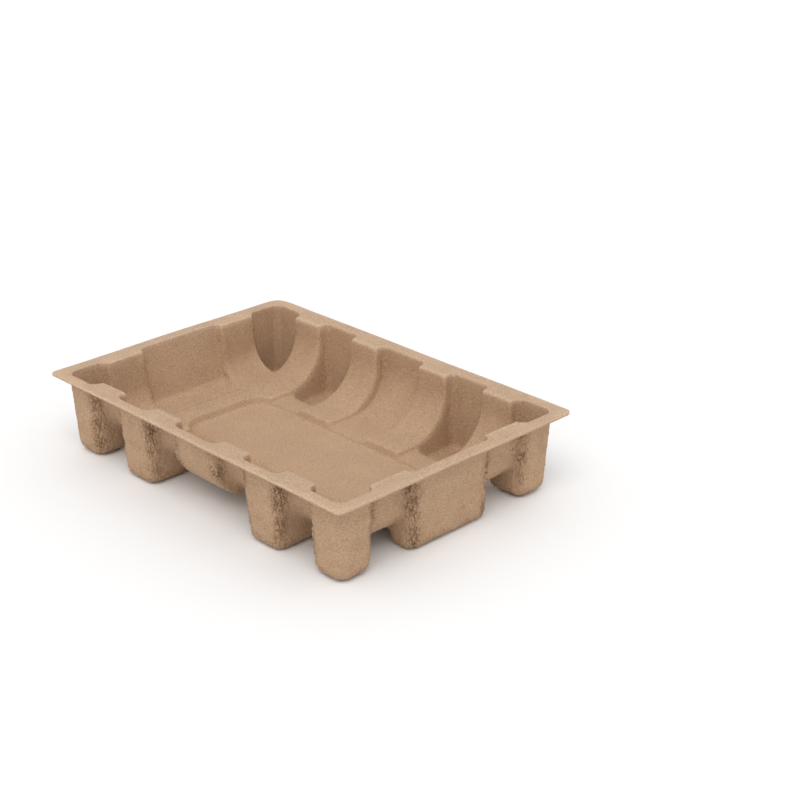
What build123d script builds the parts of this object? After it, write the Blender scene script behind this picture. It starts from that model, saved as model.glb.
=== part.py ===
import os
from math import cos, radians, sqrt, tan

from build123d import *

# Overall size of the insert, in millimetres, with the rim's top face at the full height
length = 300.0
width = 212.0
height = 59.0
wall = 2.0

# Flat rim: narrow over the pockets, and wider at the ribs, where it grows into tabs
rim_thickness = 2.0
rim_corner_radius = 4.0
side_rim = 9.0
end_rim = 9.0
side_tab = 18.0
end_tab = 15.0

# Cradle: the trough that all the ribs share, with a flat floor
cradle_side_bend = 32.0
cradle_end_bend = 18.0
cradle_draft_angle = 4.0

# Floor panel, set in from the rim's ends, sunk by a step below the ribs' feet, with a gap under its sheet
panel_gap_height = 11.0
panel_step_height = 4.0
panel_half_width = 37.0
panel_start_margin = 59.0
panel_end_margin = 46.0
panel_corner_radius = 16.0
panel_slope_angle = 35.0
channel_overlap_length = 12.0

# Foot pockets, two on each long side, each open to the panel over its sloping heel
foot_x = 66.0
foot_mouth = 35.0
foot_side_draft_angle = 3.5
foot_toe_length = 28.0
foot_heel_length = 10.0
foot_edge = 5.5

# Shallow pocket in the middle of each long side
middle_mouth = 43.0
middle_bend = 34.0
middle_edge = 6.0

# Corner feet
corner_mouth = 30.0
corner_draft_angle = 2.0
corner_edge = 7.5

# Pads in the middle of the short sides: one as deep as the feet, one just deeper than the cradle
pad_mouth = 72.0
pad_draft_angle = 2.0
pad_edge = 5.5
deep_pad_toe_length = 15.0
deep_pad_heel_length = 6.0
shallow_pad_step_height = 1.5
shallow_pad_draft_angle = 13.0
shallow_pad_floor_length = 20.0

# Lean of the outward walls, overrun of the hollows above the rim, and ramp that ends a pocket's floor
outer_draft_angle = 3.0
overrun_height = 8.0
ramp_length = 8.0

# Size of a flat bevel that touches the rounding of the same edge, as a share of its radius
bevel_share = 2 - sqrt(2)

side_wall = width / 2 - side_rim
end_wall = length / 2 - end_rim
cradle_side = width / 2 - side_tab
cradle_end = length / 2 - end_tab
panel_start = panel_start_margin - length / 2
panel_end = length / 2 - panel_end_margin
foot_depth = height - wall
panel_depth = foot_depth - panel_gap_height
cradle_depth = panel_depth - panel_step_height
shallow_pad_depth = cradle_depth + shallow_pad_step_height


def lean(depth, draft):
    """Sideways run of a wall that leans by the draft angle over a depth."""
    return depth * tan(radians(draft))


def section(plane, points, bends, skin):
    """Open-topped section through a hollow, rounded at the given corners and grown by the skin."""
    with BuildSketch(plane) as outline:
        with BuildLine():
            Polyline(*points, close=True)
        make_face()
        for corner, radius in bends:
            fillet(outline.vertices().sort_by_distance(corner)[0], radius=radius)
        if skin:
            offset(amount=skin, kind=Kind.INTERSECTION)
    return outline.sketch


def trough_section(plane, low, high, low_draft, high_draft, depth, skin, bend=0):
    """Section with a flat floor between two leaning walls, given by their places at the rim."""
    top = height + overrun_height
    floor = height - depth
    low_foot = (low + lean(depth, low_draft), floor)
    high_foot = (high - lean(depth, high_draft), floor)
    points = [
        (low - lean(overrun_height, low_draft), top),
        low_foot,
        high_foot,
        (high + lean(overrun_height, high_draft), top),
    ]
    bends = [(low_foot, bend), (high_foot, bend)] if bend else []
    return section(plane, points, bends, skin)


def pocket_section(plane, outer, draft, floor, skin):
    """Section with a leaning wall, then a floor given as places and depths, and a ramp at its inner end."""
    top = height + overrun_height
    stations = [(place, height - depth) for place, depth in floor]
    ramp_top = (stations[-1][0] - ramp_length, stations[-1][1] + ramp_length)
    points = [(outer + lean(overrun_height, draft), top), *stations, ramp_top, (ramp_top[0], top)]
    return section(plane, points, [], skin)


def deep_floor(outer, toe, heel_run, inner_end):
    """Floor of a full-depth pocket: the toe that stands on the ground, the heel and the panel-level run."""
    toe_out = outer - lean(foot_depth, outer_draft_angle)
    toe_in = toe_out - toe
    return [
        (toe_out, foot_depth),
        (toe_in, foot_depth),
        (toe_in - heel_run, panel_depth),
        (inner_end, panel_depth),
    ]


def standing_edges(pocket, outward):
    """Upright edges of a pocket's outward wall, and those of its lowest face apart from the heel's."""
    posts = pocket.faces().sort_by(outward)[-1].edges().group_by(Axis.Z)[1]
    toe = pocket.faces().sort_by(Axis.Z)[0].edges()
    return posts + (toe - toe.group_by(outward)[0])


def heel_sides(pocket):
    """Edges along both sides of a full-depth pocket's heel."""
    return pocket.edges().group_by(Axis.Z)[1]


def soften(edges, radius, skin):
    """Round a pocket's edges on the outer face; the inner face has bevels that touch the same rounding."""
    if skin:
        fillet(edges, radius=radius + skin)
    else:
        chamfer(edges, length=bevel_share * radius)


def hollow(skin):
    """Solid that fills the insert to its inner face (no skin) or outer face (the wall as skin)."""
    with BuildPart() as cradle:
        drafts = (cradle_draft_angle, cradle_draft_angle)
        bend = cradle_side_bend
        along = trough_section(Plane.YZ, -cradle_side, cradle_side, *drafts, cradle_depth, skin, bend)
        extrude(along, amount=length, both=True)
        across = trough_section(Plane.XZ, -cradle_end, cradle_end, *drafts, cradle_depth, skin)
        extrude(across, amount=width, both=True, mode=Mode.INTERSECT)
        ends = cradle.faces().sort_by(Axis.X)
        mouth = cradle.faces().sort_by(Axis.Z)[-1]
        fillet(ends[0].edges() + ends[-1].edges() - mouth.edges(), radius=cradle_end_bend + skin)

    with BuildPart() as corner:
        drafts = (corner_draft_angle, outer_draft_angle)
        along = trough_section(Plane.YZ, side_wall - corner_mouth, side_wall, *drafts, foot_depth, skin)
        extrude(along, amount=length, both=True)
        across = trough_section(Plane.XZ, end_wall - corner_mouth, end_wall, *drafts, foot_depth, skin)
        extrude(across, amount=width, both=True, mode=Mode.INTERSECT)
        mouth = corner.faces().sort_by(Axis.Z)[-1]
        innermost_post = corner.edges().group_by(Axis.Z)[1].sort_by(Axis.Y).sort_by_distance((0, 0, 0))[0]
        soften(corner.edges() - mouth.edges() - ShapeList([innermost_post]), corner_edge, skin)
        mirror(about=Plane.XZ)
        mirror(about=Plane.YZ)

    with BuildPart() as middle:
        half = middle_mouth / 2
        drafts = (outer_draft_angle, outer_draft_angle)
        along = trough_section(Plane.YZ, -side_wall, side_wall, *drafts, panel_depth, skin, middle_bend)
        extrude(along, amount=length, both=True)
        drafts = (foot_side_draft_angle, foot_side_draft_angle)
        across = trough_section(Plane.XZ, -half, half, *drafts, panel_depth, skin)
        extrude(across, amount=width, both=True, mode=Mode.INTERSECT)
        with BuildSketch():
            RectangleRounded(middle_mouth + 2 * skin, 2 * (side_wall + skin), middle_edge + skin)
        extrude(amount=height + overrun_height, mode=Mode.INTERSECT)

    with BuildPart() as foot:
        half = foot_mouth / 2
        inner_end = panel_half_width - channel_overlap_length
        floor = deep_floor(side_wall, foot_toe_length, foot_heel_length, inner_end)
        along = pocket_section(Plane.YZ, side_wall, outer_draft_angle, floor, skin)
        extrude(along, amount=length, both=True)
        drafts = (foot_side_draft_angle, foot_side_draft_angle)
        across = trough_section(Plane.XZ, foot_x - half, foot_x + half, *drafts, foot_depth, skin)
        extrude(across, amount=width, both=True, mode=Mode.INTERSECT)
        soften(standing_edges(foot, Axis.Y) + heel_sides(foot), foot_edge, skin)
        mirror(about=Plane.XZ)
        mirror(about=Plane.YZ)

    with BuildPart() as deep_pad:
        half = pad_mouth / 2
        inner_end = panel_end - channel_overlap_length
        floor = deep_floor(end_wall, deep_pad_toe_length, deep_pad_heel_length, inner_end)
        along = pocket_section(Plane.XZ, end_wall, outer_draft_angle, floor, skin)
        extrude(along, amount=width, both=True)
        across = trough_section(Plane.YZ, -half, half, pad_draft_angle, pad_draft_angle, foot_depth, skin)
        extrude(across, amount=length, both=True, mode=Mode.INTERSECT)
        soften(standing_edges(deep_pad, Axis.X) + heel_sides(deep_pad), pad_edge, skin)

    with BuildPart() as shallow_pad:
        half = pad_mouth / 2
        depth = shallow_pad_depth
        floor_start = end_wall - lean(depth, shallow_pad_draft_angle)
        floor = [(floor_start, depth), (floor_start - shallow_pad_floor_length, depth)]
        along = pocket_section(Plane.back, end_wall, shallow_pad_draft_angle, floor, skin)
        extrude(along, amount=width, both=True)
        across = trough_section(Plane.YZ, -half, half, pad_draft_angle, pad_draft_angle, depth, skin)
        extrude(across, amount=length, both=True, mode=Mode.INTERSECT)
        soften(standing_edges(shallow_pad, -Axis.X), pad_edge, skin)

    with BuildPart() as panel:
        rise = panel_depth - cradle_depth + wall
        spread = lean(rise, panel_slope_angle) + skin / cos(radians(panel_slope_angle))
        with BuildSketch(Plane.XY.offset(height - panel_depth + rise)):
            with Locations(((panel_start + panel_end) / 2, 0)):
                RectangleRounded(
                    panel_end - panel_start + 2 * spread,
                    2 * (panel_half_width + spread),
                    panel_corner_radius + spread,
                )
        extrude(amount=-rise - skin, taper=panel_slope_angle)

    with BuildPart() as whole:
        for piece in (cradle, corner, middle, foot, deep_pad, shallow_pad, panel):
            add(piece.part)
    return whole.part


inner_form = hollow(0)
outer_form = hollow(wall)

with BuildPart() as pulp_tray:
    add(outer_form)
    split(bisect_by=Plane.XY.offset(height - rim_thickness), keep=Keep.BOTTOM)
    with BuildSketch(Plane.XY.offset(height - rim_thickness)):
        RectangleRounded(length, width, rim_corner_radius)
    extrude(amount=rim_thickness)
    add(inner_form, mode=Mode.SUBTRACT)

os.makedirs("parts", exist_ok=True)
pulp_tray.part.label = "pulp_tray"
export_step(pulp_tray.part, "parts/pulp_tray.step")
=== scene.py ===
import math

import bpy
import bmesh
import numpy as np
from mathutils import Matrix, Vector, noise
from mathutils.bvhtree import BVHTree


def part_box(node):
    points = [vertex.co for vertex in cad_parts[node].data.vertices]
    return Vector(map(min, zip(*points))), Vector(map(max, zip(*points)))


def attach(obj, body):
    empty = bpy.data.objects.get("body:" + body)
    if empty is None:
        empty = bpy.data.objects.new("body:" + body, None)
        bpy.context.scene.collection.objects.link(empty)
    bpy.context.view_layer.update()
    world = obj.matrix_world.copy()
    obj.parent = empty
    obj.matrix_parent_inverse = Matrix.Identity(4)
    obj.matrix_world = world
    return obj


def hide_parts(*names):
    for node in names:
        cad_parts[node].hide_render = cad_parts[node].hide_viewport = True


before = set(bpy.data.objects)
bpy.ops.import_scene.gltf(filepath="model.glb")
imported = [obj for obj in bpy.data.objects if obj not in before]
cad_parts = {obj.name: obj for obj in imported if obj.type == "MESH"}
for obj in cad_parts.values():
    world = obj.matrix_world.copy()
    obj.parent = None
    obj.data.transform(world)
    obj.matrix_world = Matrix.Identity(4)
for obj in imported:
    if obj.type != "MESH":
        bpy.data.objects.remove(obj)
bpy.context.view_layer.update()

MM = 0.001
tray_low, tray_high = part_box("pulp_tray")
rim_height = tray_high[2]
half_length = (tray_high[0] - tray_low[0]) / 2
half_width = (tray_high[1] - tray_low[1]) / 2

# Moulded sheet: grid that it is rebuilt on, its triangle budget, and the tilt that tells its outer face
weld_gap = 0.001 * MM
grid_step = 0.6 * MM
triangle_budget = 194000
outer_face_tilt = -0.02

# Rounding: passes and their strength, and the bends that count as a lip and as a lip with the full painted
# highlight
rounding_passes = 100
rounding_share = 0.8
first_passes = 8
lip_passes = 10
spread_passes = 50
lip_bend = 0.008 * MM
full_highlight_bend = 4 * lip_bend

# Weaker rounding in creases, along the rim's edge, at the mouths, at both ends and at the panel's step
crease_share = 0.12
rim_edge_band = 5 * MM
rim_edge_share = 0.04
mouth_band = 7 * MM
mouth_share = 0.3
end_start = 112 * MM
end_share = 0.12
step_band = 5 * MM
step_share = 0.15

# Posts: the rounded upright outer edges of the pockets, as their places at the rim, and their lean
foot_posts_x = (48.5 * MM, 83.5 * MM)
middle_post_x = 21.5 * MM
corner_post_x = 111 * MM
corner_post_y = 67 * MM
pad_post_y = 36 * MM
outer_x = 141 * MM
outer_y = 97 * MM
post_lean = 0.055

# Wrinkles: reach around a post, depths below the rim where they start, ground band, and their shares
post_reach = 7.0 * MM
post_start_depth = 3 * MM
post_full_depth = 12 * MM
corner_post_share = 0.3
toe_band = 14 * MM
toe_share = 0.42
inner_share = 0.3
least_wrinkle_share = 0.03

# Folds of a wrinkle, swayed sideways, and the narrow cracks between them with their painted shade, with a
# second, finer set
fold_width = 2.0 * MM
fold_length = 5.0 * MM
fold_height = 0.8 * MM
fold_sink_share = 0.3
sway_scale = 0.6
sway_share = 0.9
crack_depth = 1.1 * MM
crack_share = 0.17
crack_shade = 0.2
finer_scale = 1.9
finer_crack_share = 0.8
finer_fold_share = 0.5

# Patches that make the wrinkles uneven, and faint wrinkles scattered over the outer walls
patch_size = 8.0 * MM
patch_gain = 0.8
patch_low_share = 0.5
patch_high_share = 1.2
scatter_share = 0.3
scatter_floor_share = 0.12
scatter_patch = 0.5
scatter_start_depth = 5 * MM
scatter_full_depth = 14 * MM

# Soft lumps of the outer face
lump_size = 5.0 * MM
lump_height = 0.2 * MM
small_lump_scale = 2.2
small_lump_share = 0.6

# Outline of the floor panel, with a shallow groove along it, painted shade in the groove, and a ridge inside
# the groove
panel_low_x = -91 * MM
panel_high_x = 104 * MM
panel_half_y = 37 * MM
panel_corner = 16 * MM
panel_level = 13 * MM
rib_foot_level = 17 * MM
groove_width = 1.6 * MM
groove_depth = 0.6 * MM
groove_shade = 0.3
groove_low = panel_level - 5 * MM
groove_high = panel_level - 3 * MM
ridge_inset = 3.6 * MM
ridge_width = 1.7 * MM
ridge_height = 0.6 * MM

# Shallow creases across the floor panel, and across the strip between it and the shallow pad
crease_x = (-50 * MM, 15 * MM, 55 * MM)
crease_half_y = 36 * MM
crease_full_share = 0.8
crease_width = 1.6 * MM
crease_depth = 0.35 * MM
strip_x = (-97 * MM, -104.5 * MM)
strip_half_y = 50 * MM
strip_full_share = 0.6
strip_depth = 0.4 * MM

# Rolled lips at both sides of the shallow pad, each with a line of painted shade at its foot
lip_start = -104 * MM
lip_fade = 8 * MM
lip_end_depth = 3 * MM
lip_full_depth = 9 * MM
lip_y = 39 * MM
lip_width = 2.8 * MM
lip_height = 1.1 * MM
lip_line_y = 34.2 * MM
lip_line_width = 1.6 * MM
lip_line_shade = 0.35

# Slow wave of the rim, and its worn far corner
rim_wave = 0.5 * MM
rim_wave_length = 150 * MM
rim_wave_phase = 0.6
rim_wave_band = 14 * MM
worn_reach = 8 * MM
worn_depth = 2.2 * MM

# Pulp: colours of its fibres, and tints of the flecks, the painted shade in the cracks, the rim's top and
# the painted highlight on the lips
dark_fibre = (0.385, 0.243, 0.148, 1)
pale_fibre = (0.585, 0.403, 0.264, 1)
dark_fibre_level = 0.36
pale_fibre_level = 0.64
white = (1, 1, 1, 1)
fleck_tint = (0.62, 0.56, 0.5, 1)
fleck_core = 0.06
fleck_edge = 0.16
fleck_share = 0.7
crack_shade_tint = (0.75, 0.63, 0.5, 1)
rim_tint = (1.06, 1.11, 1.18, 1)
rim_tint_start = rim_height - 4 * MM
rim_tint_full = rim_height - 1 * MM
lip_highlight_tint = (1.17, 1.18, 1.19, 1)

# Pulp: sizes of its textures, as repeats in a metre, with their detail
mottle_scale = 42.0
mottle_detail = 5.0
mottle_roughness = 0.6
mottle_share = 0.15
grain_scale = 920.0
grain_detail = 4.0
grain_roughness = 0.7
grain_share = 0.85
fleck_scale = 330.0
felt_scale = 660.0
felt_detail = 5.0
felt_roughness = 0.7
felt_strength = 0.85
felt_height = 0.7 * MM

# Pulp: net of thin cracks, swayed and stretched along the height, and the sheen
net_sway_scale = 240.0
net_sway_detail = 2.0
net_sway = 4 * MM
net_stretch_share = 0.6
net_scale = 350.0
net_line_share = 0.13
net_strength = 1.0
net_depth = 0.55 * MM
pulp_sheen = 0.18
least_roughness = 0.86
most_roughness = 0.98

# Studio: pale floor, even sky and a wide soft key light, in metres
floor_size = 12
floor_colour = (0.93, 0.93, 0.93, 1)
floor_roughness = 0.9
floor_sheen = 0.1
sky_strength = 0.82
key_angle = 40
key_energy = 1.12
key_place = (0.55, -0.75, 1.5)

# Camera: sensor and lens in millimetres, place in metres, tilt from straight down and turn in degrees
sensor_width = 36
lens = 78.48
camera_place = (828.56 * MM, -720.07 * MM, 539.3 * MM)
camera_tilt = 66.033
camera_turn = 45.584


def smooth_step(low, high, value):
    """0 below low, 1 above high, and a smooth rise between them."""
    share = np.clip((value - low) / (high - low), 0, 1)
    return share * share * (3 - 2 * share)


def bell(gap, width):
    """1 where the gap is zero, falling off over the width."""
    return np.exp(-(gap / width) ** 2)


def rebuilt_sheet():
    """The tray's solid as a closed mesh of even squares, and a tree of the solid's faces."""
    solid = bmesh.new()
    solid.from_mesh(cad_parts["pulp_tray"].data)
    bmesh.ops.remove_doubles(solid, verts=solid.verts, dist=weld_gap)
    faces = BVHTree.FromBMesh(solid)
    mesh = bpy.data.meshes.new("sheet_source")
    solid.to_mesh(mesh)
    solid.free()
    source = bpy.data.objects.new("sheet_source", mesh)
    bpy.context.scene.collection.objects.link(source)
    remesh = source.modifiers.new("grid", "REMESH")
    remesh.mode = "VOXEL"
    remesh.voxel_size = grid_step
    graph = bpy.context.evaluated_depsgraph_get()
    sheet = bpy.data.meshes.new_from_object(source.evaluated_get(graph))
    bpy.data.objects.remove(source)
    return sheet, faces


def vertex_places(mesh):
    places = np.empty(len(mesh.vertices) * 3)
    mesh.vertices.foreach_get("co", places)
    return places.reshape(-1, 3)


def vertex_normals(mesh):
    normals = np.empty(len(mesh.vertices) * 3)
    mesh.vertex_normals.foreach_get("vector", normals)
    return normals.reshape(-1, 3)


def keep_values(mesh, name, values):
    """Store one value for each vertex, for the material to read."""
    mesh.attributes.new(name, "FLOAT", "POINT").data.foreach_set("value", values)


def neighbour_average(mesh):
    """Function that averages a value over the neighbours of each vertex."""
    ends = np.empty(len(mesh.edges) * 2, dtype=np.int32)
    mesh.edges.foreach_get("vertices", ends)
    ends = ends.reshape(-1, 2)
    first = np.concatenate([ends[:, 0], ends[:, 1]])
    second = np.concatenate([ends[:, 1], ends[:, 0]])
    count = np.bincount(first, minlength=len(mesh.vertices))

    def average(values):
        return np.bincount(first, weights=values[second], minlength=len(values)) / count

    return average


def weaker_rounding(places):
    """Share of the rounding that is left near the rim, at both ends and at the panel's step."""
    to_edge = np.minimum(half_length - np.abs(places[:, 0]), half_width - np.abs(places[:, 1]))
    share = rim_edge_share + (1 - rim_edge_share) * smooth_step(0, rim_edge_band, to_edge)
    mouth_low = rim_height - 2 * mouth_band
    mouth_high = rim_height - mouth_band
    share *= 1 - (1 - mouth_share) * smooth_step(mouth_low, mouth_high, places[:, 2])
    share *= 1 - (1 - end_share) * smooth_step(end_start, end_start + mouth_band, np.abs(places[:, 0]))
    at_step = 1 - smooth_step(rib_foot_level, rib_foot_level + step_band, places[:, 2])
    at_step *= 1 - smooth_step(step_band / 2, step_band, np.abs(from_panel(places)))
    share *= 1 - (1 - step_share) * at_step
    return share


def rounded(mesh, outer):
    """Average each vertex with its neighbours, most at the lips, and store the painted highlight on the
    lips.
    """
    average = neighbour_average(mesh)

    def drift(places):
        return np.stack([average(places[:, axis]) for axis in range(3)], axis=1) - places

    places = vertex_places(mesh)
    eased = places
    for _ in range(first_passes):
        eased = eased + rounding_share * drift(eased)
    mesh.vertices.foreach_set("co", eased.ravel())
    mesh.update()
    bend = (drift(eased) * vertex_normals(mesh)).sum(axis=1) * (2 * outer - 1)
    for _ in range(lip_passes):
        bend = average(bend)
    # Painted highlight where the inner face bends outward at a lip
    lips = smooth_step(lip_bend, full_highlight_bend, bend) * (1 - outer)
    for _ in range(spread_passes - lip_passes):
        bend = average(bend)
    share = crease_share + (1 - crease_share) * smooth_step(0, lip_bend, bend)
    share = rounding_share * (share * weaker_rounding(places))[:, None]
    for _ in range(rounding_passes):
        places = places + share * drift(places)
    mesh.vertices.foreach_set("co", places.ravel())
    keep_values(mesh, "lip", lips)
    mesh.update()


def underside(mesh, faces):
    """1 on the sheet's outer face, which looks down in the mould, and 0 on its inner face."""
    tilts = np.array([faces.find_nearest(vertex.co)[1].z for vertex in mesh.vertices])
    return np.where(tilts < outer_face_tilt, 1.0, 0.0)


def post_places():
    """Each post of one quarter of the tray, as its place at the rim."""
    posts = [(x, outer_y) for x in foot_posts_x]
    posts += [(middle_post_x, outer_y), (corner_post_x, outer_y)]
    posts += [(outer_x, outer_y), (outer_x, corner_post_y), (outer_x, pad_post_y)]
    return posts


def from_panel(places):
    """Distance from the floor panel's rounded outline, negative inside it."""
    centre = (panel_low_x + panel_high_x) / 2
    half = (panel_high_x - panel_low_x) / 2
    gap_x = np.abs(places[:, 0] - centre) - half + panel_corner
    gap_y = np.abs(places[:, 1]) - panel_half_y + panel_corner
    outside = np.hypot(np.maximum(gap_x, 0), np.maximum(gap_y, 0))
    return outside + np.minimum(np.maximum(gap_x, gap_y), 0) - panel_corner


def wrinkle_share(places, outer):
    """How strongly the sheet is wrinkled: most at the posts, less at the ground and on the inner face."""
    across = np.abs(places[:, 0])
    along = np.abs(places[:, 1])
    depth = rim_height - places[:, 2]
    share = np.zeros(len(places))
    for post_x, post_y in post_places():
        strength = corner_post_share if (post_x, post_y) == (outer_x, outer_y) else 1
        gap_x = across - post_x
        gap_y = along - post_y + post_lean * depth
        share = np.maximum(share, strength * np.exp(-(gap_x ** 2 + gap_y ** 2) / post_reach ** 2))
    share *= smooth_step(post_start_depth, post_full_depth, depth)
    toe = toe_share * (1 - smooth_step(toe_band / 3, toe_band, places[:, 2]))
    toe *= smooth_step(0, toe_band, from_panel(places))
    return np.maximum(share * (inner_share + (1 - inner_share) * outer), outer * toe)


def scattered_share(places, outer, patch):
    """How strongly the outer walls away from the posts are wrinkled."""
    above_floor = scatter_share - scatter_floor_share
    share = scatter_floor_share + above_floor * smooth_step(0, scatter_patch, patch)
    share *= outer * smooth_step(0, toe_band, from_panel(places))
    share *= smooth_step(scatter_start_depth, scatter_full_depth, rim_height - places[:, 2])
    return share


def folds(place):
    """Push of the plump folds and their narrow cracks, stretched along the height, and the crack's depth."""
    at = Vector((place[0] / fold_width, place[1] / fold_width, place[2] / fold_length))
    bend = noise.noise(at * sway_scale) * sway_share
    at.x += bend
    at.y -= bend
    crossing = noise.noise(at)
    finer = noise.noise(at * finer_scale)
    finer_crack = finer_crack_share * math.exp(-(finer / crack_share) ** 2)
    crack = max(math.exp(-(crossing / crack_share) ** 2), finer_crack)
    plump = abs(crossing) + finer_fold_share * abs(finer) - fold_sink_share
    return fold_height * plump - crack_depth * crack, crack


def patches(place):
    """Uneven strength of the wrinkles from place to place."""
    return noise.noise(Vector(place) / patch_size)


def lumps(place):
    at = Vector(place) / lump_size
    return noise.noise(at) + small_lump_share * noise.noise(at * small_lump_scale)


def wrinkles(places, outer):
    """Push of the wrinkles and lumps, how wrinkled each vertex is, and the painted shade of its crack."""
    push = np.zeros(len(places))
    patch = np.zeros(len(places))
    cracks = np.zeros(len(places))
    for index in np.flatnonzero(outer):
        push[index] = lump_height * lumps(places[index])
        patch[index] = patches(places[index])
    uneven = np.clip(1 + patch_gain * patch, patch_low_share, patch_high_share)
    wrinkled = wrinkle_share(places, outer) * uneven
    wrinkled = np.maximum(wrinkled, scattered_share(places, outer, patch))
    for index in np.flatnonzero(wrinkled > least_wrinkle_share):
        fold, crack = folds(places[index])
        push[index] += wrinkled[index] * fold
        cracks[index] = crack_shade * wrinkled[index] * crack
    return push, wrinkled, cracks


def press_floor(moved, places, outer):
    """Crease the panel and the strip beside it, press the panel's groove and ridge, and return the painted
    shade of the groove.
    """
    low = 1 - smooth_step(panel_level, rib_foot_level, places[:, 2])
    to_side = np.abs(places[:, 1])
    on_panel = low * (1 - smooth_step(crease_half_y * crease_full_share, crease_half_y, to_side))
    for centre in crease_x:
        moved[:, 2] += crease_depth * on_panel * bell(places[:, 0] - centre, crease_width)
    groove = low * bell(from_panel(places), groove_width)
    groove *= smooth_step(groove_low, groove_high, places[:, 2])
    moved[:, 2] -= groove_depth * groove
    moved[:, 2] += ridge_height * low * bell(from_panel(places) + ridge_inset, ridge_width)
    on_strip = (1 - outer) * (1 - smooth_step(rib_foot_level, rib_foot_level + step_band, places[:, 2]))
    on_strip *= 1 - smooth_step(strip_half_y * strip_full_share, strip_half_y, to_side)
    for centre in strip_x:
        moved[:, 2] -= strip_depth * on_strip * bell(places[:, 0] - centre, crease_width)
    return groove_shade * groove * (1 - outer)


def roll_pad_lips(moved, places, normals, outer):
    """Raise the lips at both sides of the shallow pad, and return the painted shade of the lines at their
    feet.
    """
    to_side = np.abs(places[:, 1])
    beside_pad = (1 - outer) * (1 - smooth_step(lip_start - lip_fade, lip_start, places[:, 0]))
    beside_pad *= 1 - smooth_step(rim_height - lip_full_depth, rim_height - lip_end_depth, places[:, 2])
    beside_pad *= smooth_step(rib_foot_level, rib_foot_level + step_band, places[:, 2])
    lip = beside_pad * bell(to_side - lip_y, lip_width)
    moved += lip_height * lip[:, None] * normals
    lip_line = beside_pad * bell(to_side - lip_line_y, lip_line_width)
    return lip_line_shade * lip_line


def shape_rim(moved, places):
    """Give the rim its slow wave, and wear down its far corner."""
    near_rim = smooth_step(rim_height - rim_wave_band, rim_height, places[:, 2])
    turn = 2 * math.pi / rim_wave_length
    wave = np.sin(turn * places[:, 0] + rim_wave_phase) * np.cos(turn * places[:, 1])
    moved[:, 2] += rim_wave * near_rim * wave
    to_corner = np.hypot(places[:, 0] + half_length, places[:, 1] - half_width)
    worn = worn_depth * bell(to_corner, worn_reach)
    moved[:, 0] += worn
    moved[:, 1] -= worn


def above_ground(places):
    places[:, 2] = np.maximum(places[:, 2], 0)
    return places


def pressed(mesh, outer):
    """Give the sheet its wrinkles, lumps, floor, pad lips and rim, and store its wrinkles and the painted
    shade of its cracks, groove and lip lines.
    """
    places = vertex_places(mesh)
    normals = vertex_normals(mesh)
    push, wrinkled, cracks = wrinkles(places, outer)
    moved = places + push[:, None] * normals
    cracks = np.maximum(cracks, press_floor(moved, places, outer))
    cracks = np.maximum(cracks, roll_pad_lips(moved, places, normals, outer))
    shape_rim(moved, places)
    mesh.vertices.foreach_set("co", above_ground(moved).ravel())
    keep_values(mesh, "crack", cracks)
    keep_values(mesh, "wrinkle", np.minimum(wrinkled, 1))
    mesh.update()


def thinned(mesh, name):
    """The sheet as an object, with fewer triangles where it is flat."""
    tray = bpy.data.objects.new(name, mesh)
    bpy.context.scene.collection.objects.link(tray)
    decimate = tray.modifiers.new("thin", "DECIMATE")
    decimate.ratio = min(1.0, triangle_budget / (2 * len(mesh.polygons)))
    graph = bpy.context.evaluated_depsgraph_get()
    final = bpy.data.meshes.new_from_object(tray.evaluated_get(graph))
    tray.modifiers.clear()
    final.vertices.foreach_set("co", above_ground(vertex_places(final)).ravel())
    final.update()
    tray.data = final
    final.name = name
    final.shade_smooth()
    return tray


def feed(tree, value, socket):
    """Give a socket a value, or link it to another node's output."""
    if isinstance(value, bpy.types.NodeSocket):
        tree.links.new(value, socket)
    else:
        socket.default_value = value


def node(tree, kind, **inputs):
    """New node, with its inputs given by their names."""
    made = tree.nodes.new(kind)
    for name, value in inputs.items():
        feed(tree, value, made.inputs[name.replace("_", " ")])
    return made


def calculated(tree, operation, *values):
    made = tree.nodes.new("ShaderNodeMath")
    made.operation = operation
    for socket, value in zip(made.inputs, values):
        feed(tree, value, socket)
    return made.outputs[0]


def stored(tree, name):
    """Value that the sheet's mesh holds for each vertex."""
    made = tree.nodes.new("ShaderNodeAttribute")
    made.attribute_name = name
    return made.outputs["Fac"]


def ramp(tree, factor, *stops):
    made = node(tree, "ShaderNodeValToRGB", Fac=factor)
    for element, (position, colour) in zip(made.color_ramp.elements, stops):
        element.position = position
        element.color = colour
    return made.outputs["Color"]


def tinted(tree, base, tint, factor):
    """A colour that is multiplied by a tint as far as the factor says."""
    made = tree.nodes.new("ShaderNodeMix")
    made.data_type = "RGBA"
    made.blend_type = "MULTIPLY"
    feed(tree, base, made.inputs["A"])
    feed(tree, tint, made.inputs["B"])
    feed(tree, factor, made.inputs["Factor"])
    return made.outputs["Result"]


def noise_texture(tree, place, scale, detail, roughness):
    made = node(tree, "ShaderNodeTexNoise", Vector=place, Scale=scale, Detail=detail, Roughness=roughness)
    return made.outputs["Fac"]


def fibre_colour(tree, place, grain):
    """Mottled brown of the fibres, with dark flecks."""
    mottle = noise_texture(tree, place, mottle_scale, mottle_detail, mottle_roughness)
    shift = calculated(tree, "MULTIPLY", mottle, mottle_share)
    blend = calculated(tree, "MULTIPLY_ADD", grain, grain_share, shift)
    tone = ramp(tree, blend, (dark_fibre_level, dark_fibre), (pale_fibre_level, pale_fibre))
    fleck = node(tree, "ShaderNodeTexVoronoi", Vector=place, Scale=fleck_scale, Randomness=1)
    spots = ramp(tree, fleck.outputs["Distance"], (fleck_core, fleck_tint), (fleck_edge, white))
    return tinted(tree, tone, spots, fleck_share)


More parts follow.
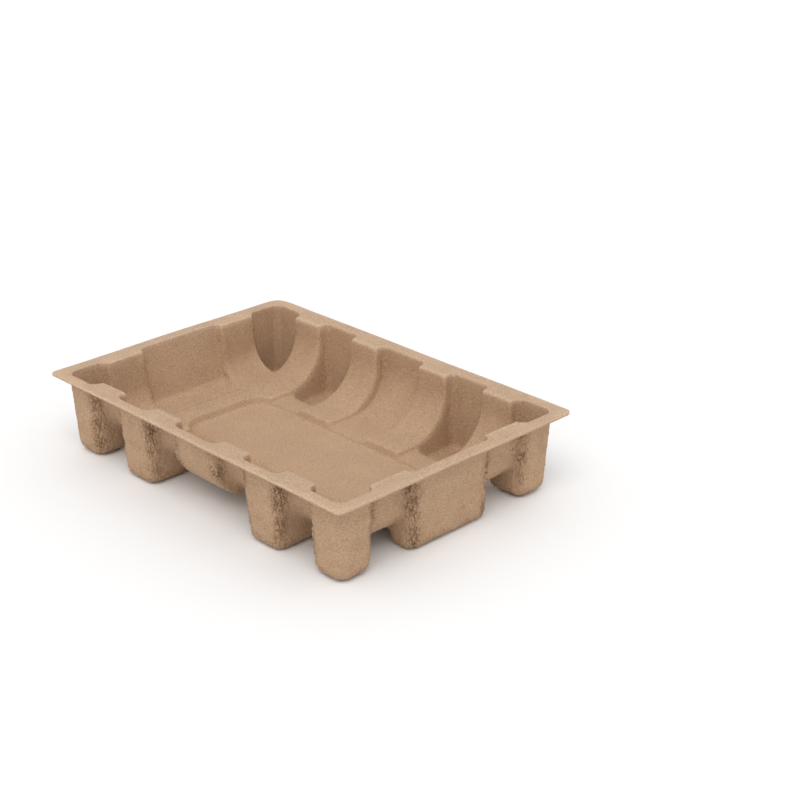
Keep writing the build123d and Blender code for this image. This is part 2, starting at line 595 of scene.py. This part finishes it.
def crack_lines(tree, place):
    """Net of thin cracks where the sheet is wrinkled, which gives their painted shade and their bump."""
    sway = node(tree, "ShaderNodeTexNoise", Vector=place, Scale=net_sway_scale, Detail=net_sway_detail)
    swayed = tree.nodes.new("ShaderNodeVectorMath")
    swayed.operation = "MULTIPLY_ADD"
    for socket, value in zip(swayed.inputs, (sway.outputs["Color"], (net_sway, net_sway, net_sway), place)):
        feed(tree, value, socket)
    stretch = (1, 1, net_stretch_share)
    stretched = node(tree, "ShaderNodeMapping", Vector=swayed.outputs[0], Scale=stretch)
    net = node(tree, "ShaderNodeTexVoronoi", Scale=net_scale, Randomness=1)
    net.feature = "DISTANCE_TO_EDGE"
    tree.links.new(stretched.outputs["Vector"], net.inputs["Vector"])
    to_line = net.outputs["Distance"]
    line = node(tree, "ShaderNodeMapRange", Value=to_line, From_Max=net_line_share, To_Min=1, To_Max=0)
    return calculated(tree, "MULTIPLY", line.outputs["Result"], stored(tree, "wrinkle"))


def rim_top(tree, place):
    """1 at the rim's top, and 0 below it."""
    height = node(tree, "ShaderNodeSeparateXYZ", Vector=place).outputs["Z"]
    high = node(tree, "ShaderNodeMapRange", Value=height, From_Min=rim_tint_start, From_Max=rim_tint_full)
    return high.outputs["Result"]


def felted(tree, place, cracks):
    """Normal of the felted grain, with the cracks sunk into it."""
    felt = noise_texture(tree, place, felt_scale, felt_detail, felt_roughness)
    bump = node(tree, "ShaderNodeBump", Strength=felt_strength, Distance=felt_height, Height=felt)
    sunk = node(tree, "ShaderNodeBump", Strength=net_strength, Distance=net_depth, Height=cracks)
    sunk.invert = True
    tree.links.new(bump.outputs["Normal"], sunk.inputs["Normal"])
    return sunk.outputs["Normal"]


def pulp_material():
    """Matte kraft pulp: mottled brown, with fine fibres, dark flecks, cracks with painted shade, painted
    shade in the creases, painted highlights on the lips and a felted grain.
    """
    material = bpy.data.materials.new("pulp")
    material.use_nodes = True
    tree = material.node_tree
    shader = tree.nodes["Principled BSDF"]
    place = tree.nodes.new("ShaderNodeTexCoord").outputs["Object"]
    grain = noise_texture(tree, place, grain_scale, grain_detail, grain_roughness)
    cracks = crack_lines(tree, place)
    colour = fibre_colour(tree, place, grain)
    # Painted shade in the crack net, the fold cracks, the panel's groove and the lines at the feet of the
    # pad's lips
    colour = tinted(tree, colour, crack_shade_tint, calculated(tree, "MAXIMUM", cracks, stored(tree, "crack")))
    colour = tinted(tree, colour, rim_tint, rim_top(tree, place))
    # Painted highlight on the convex lips of the inner face
    colour = tinted(tree, colour, lip_highlight_tint, stored(tree, "lip"))
    rough = node(tree, "ShaderNodeMapRange", Value=grain, To_Min=least_roughness, To_Max=most_roughness)
    feed(tree, colour, shader.inputs["Base Color"])
    feed(tree, rough.outputs["Result"], shader.inputs["Roughness"])
    feed(tree, pulp_sheen, shader.inputs["Specular IOR Level"])
    feed(tree, felted(tree, place, cracks), shader.inputs["Normal"])
    return material


def floor_material():
    material = bpy.data.materials.new("studio_floor")
    material.use_nodes = True
    shader = material.node_tree.nodes["Principled BSDF"]
    shader.inputs["Base Color"].default_value = floor_colour
    shader.inputs["Roughness"].default_value = floor_roughness
    shader.inputs["Specular IOR Level"].default_value = floor_sheen
    return material


def studio():
    """Pale floor, a soft light from above the camera, and an even sky."""
    bpy.ops.mesh.primitive_plane_add(size=floor_size, location=(0, 0, 0))
    floor = bpy.context.object
    floor.name = "studio_floor"
    floor.data.materials.append(floor_material())

    scene = bpy.context.scene
    scene.view_settings.view_transform = "Standard"
    scene.world = bpy.data.worlds.new("studio_sky")
    scene.world.use_nodes = True
    sky = scene.world.node_tree.nodes["Background"]
    sky.inputs["Color"].default_value = white
    sky.inputs["Strength"].default_value = sky_strength

    key = bpy.data.lights.new("key", "SUN")
    key.angle = math.radians(key_angle)
    key.energy = key_energy
    lamp = bpy.data.objects.new("key", key)
    lamp.location = key_place
    lamp.rotation_euler = (-lamp.location).to_track_quat("-Z", "Y").to_euler()
    scene.collection.objects.link(lamp)


def camera():
    """View from the front right, about 24 degrees above the floor."""
    data = bpy.data.cameras.new("camera")
    data.sensor_fit = "HORIZONTAL"
    data.sensor_width = sensor_width
    data.lens = lens
    eye = bpy.data.objects.new("camera", data)
    eye.location = camera_place
    eye.rotation_euler = (math.radians(camera_tilt), 0, math.radians(camera_turn))
    bpy.context.scene.collection.objects.link(eye)
    bpy.context.scene.camera = eye


sheet, solid_faces = rebuilt_sheet()
outer_face = underside(sheet, solid_faces)
rounded(sheet, outer_face)
pressed(sheet, outer_face)
tray = thinned(sheet, "pulp_sheet")
tray.data.materials.clear()
tray.data.materials.append(pulp_material())
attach(tray, "root")
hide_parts("pulp_tray")

studio()
camera()
